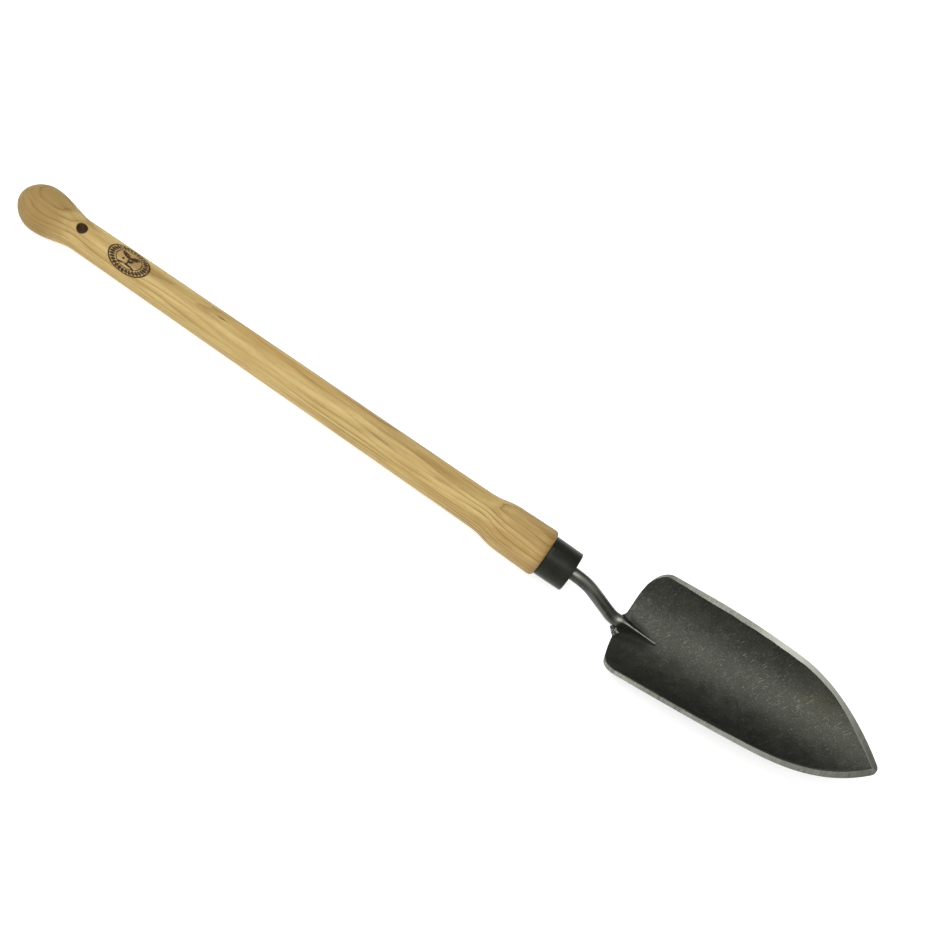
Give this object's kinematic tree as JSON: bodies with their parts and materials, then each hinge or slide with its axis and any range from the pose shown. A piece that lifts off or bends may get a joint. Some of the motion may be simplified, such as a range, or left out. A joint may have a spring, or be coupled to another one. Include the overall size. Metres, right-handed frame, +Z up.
{
  "type": "hand transplanter",
  "caption": "Hand transplanter: turned wooden handle with a knob end, metal ferrule, and a bent steel neck carrying a long pointed scoop blade.",
  "frame": {"origin": "centre of the bounding box's underside, with the tool lying on its knob and on the heel of its blade", "axes": "+X from the knob towards the blade's tip, +Z up out of the blade's hollow side, +Y to the left"},
  "size_m": [0.6464, 0.079, 0.0508],
  "materials": {
    "ash": "satin",
    "black_steel": "satin",
    "forged_steel": "satin",
    "weld_metal": "satin"
  },
  "bodies": {
    "root": {"handle": "ash", "ferrule": "black_steel", "tang_neck": "forged_steel", "blade": "forged_steel", "weld_fillet": "weld_metal", "weld_bead": "weld_metal"}
  },
  "joints": []
}
